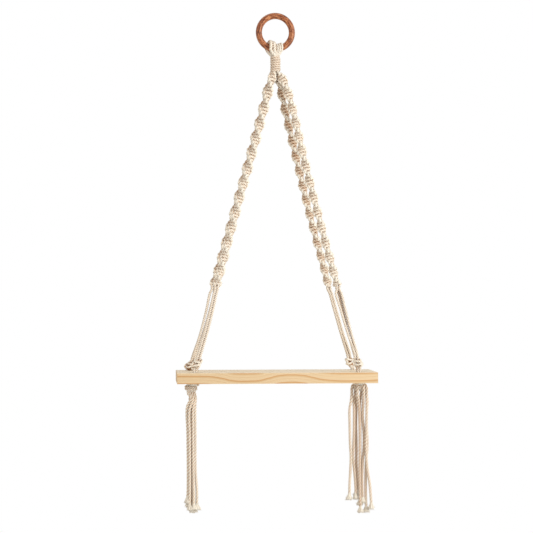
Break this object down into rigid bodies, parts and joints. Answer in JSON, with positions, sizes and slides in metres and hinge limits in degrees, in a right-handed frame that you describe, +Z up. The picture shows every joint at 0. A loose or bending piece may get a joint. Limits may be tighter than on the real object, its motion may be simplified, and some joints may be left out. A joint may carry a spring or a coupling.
{
  "type": "hanging rope shelf",
  "caption": "Pine board shelf hung from a wooden ring by spiral-knotted cotton cords, with loose cord tassels under its ends.",
  "frame": {"origin": "highest point of the ring's bore, where a hook or peg carries the shelf", "axes": "+Z up along the hanging line, +X along the board's length, -Y towards the viewer"},
  "size_m": [0.356, 0.114, 0.9023],
  "materials": {
    "ring_wood": "satin",
    "cotton_cord": "matte",
    "board_pine": "matte"
  },
  "bodies": {
    "ring": {"hanging_ring": "ring_wood"},
    "cord_loops": {"ring_loop_1": "cotton_cord", "ring_loop_2": "cotton_cord", "ring_loop_3": "cotton_cord", "ring_loop_4": "cotton_cord", "ring_loop_5": "cotton_cord", "ring_loop_6": "cotton_cord", "ring_loop_7": "cotton_cord", "ring_loop_8": "cotton_cord"},
    "gathering": {"gathering_core": "cotton_cord", "gathering_wrap": "cotton_cord"},
    "shelf": {"knotted_length_front_left": "cotton_cord", "front_left_cord_1": "cotton_cord", "front_left_cord_2": "cotton_cord", "front_left_cord_3": "cotton_cord", "front_left_cord_4": "cotton_cord", "front_left_stop_knot": "cotton_cord", "front_left_hole_cords": "cotton_cord", "knotted_length_back_left": "cotton_cord", "back_left_cord_1": "cotton_cord", "back_left_cord_2": "cotton_cord", "back_left_cord_3": "cotton_cord", "back_left_cord_4": "cotton_cord", "back_left_stop_knot": "cotton_cord", "back_left_hole_cords": "cotton_cord", "knotted_length_front_right": "cotton_cord", "front_right_cord_1": "cotton_cord", "front_right_cord_2": "cotton_cord", "front_right_cord_3": "cotton_cord", "front_right_cord_4": "cotton_cord", "front_right_stop_knot": "cotton_cord", "front_right_hole_cords": "cotton_cord", "knotted_length_back_right": "cotton_cord", "back_right_cord_1": "cotton_cord", "back_right_cord_2": "cotton_cord", "back_right_cord_3": "cotton_cord", "back_right_cord_4": "cotton_cord", "back_right_stop_knot": "cotton_cord", "back_right_hole_cords": "cotton_cord", "pine_board": "board_pine", "left_under_knot": "cotton_cord", "right_under_knot": "cotton_cord"},
    "left_tassel": {"left_tail_1": "cotton_cord", "left_tail_2": "cotton_cord", "left_tail_3": "cotton_cord", "left_tail_4": "cotton_cord", "left_tail_5": "cotton_cord", "left_tail_6": "cotton_cord", "left_tail_7": "cotton_cord", "left_tail_8": "cotton_cord"},
    "right_tassel": {"right_tail_1": "cotton_cord", "right_tail_2": "cotton_cord", "right_tail_3": "cotton_cord", "right_tail_4": "cotton_cord", "right_tail_5": "cotton_cord", "right_tail_6": "cotton_cord", "right_tail_7": "cotton_cord", "right_tail_8": "cotton_cord"}
  },
  "joints": [
    {"name": "side_sway", "type": "hinge", "parent": "ring", "child": "cord_loops", "pos_m": [0, 0, -0.0243], "axis": [0, 1, 0], "range_deg": [-40, 40]},
    {"name": "fore_aft_swing", "type": "hinge", "parent": "cord_loops", "child": "gathering", "pos_m": [0, 0, -0.0542], "axis": [1, 0, 0], "range_deg": [-30, 30]},
    {"name": "shelf_twist", "type": "hinge", "parent": "gathering", "child": "shelf", "pos_m": [0, 0, -0.0984], "axis": [0, 0, 1], "range_deg": [-45, 45], "stiffness_Nm_per_rad": 0.05},
    {"name": "left_tassel_swing", "type": "hinge", "parent": "shelf", "child": "left_tassel", "pos_m": [-0.152, 0, -0.67385], "axis": [1, 0, 0], "range_deg": [-30, 30]},
    {"name": "right_tassel_swing", "type": "hinge", "parent": "shelf", "child": "right_tassel", "pos_m": [0.152, 0, -0.67385], "axis": [1, 0, 0], "range_deg": [-30, 30]}
  ]
}
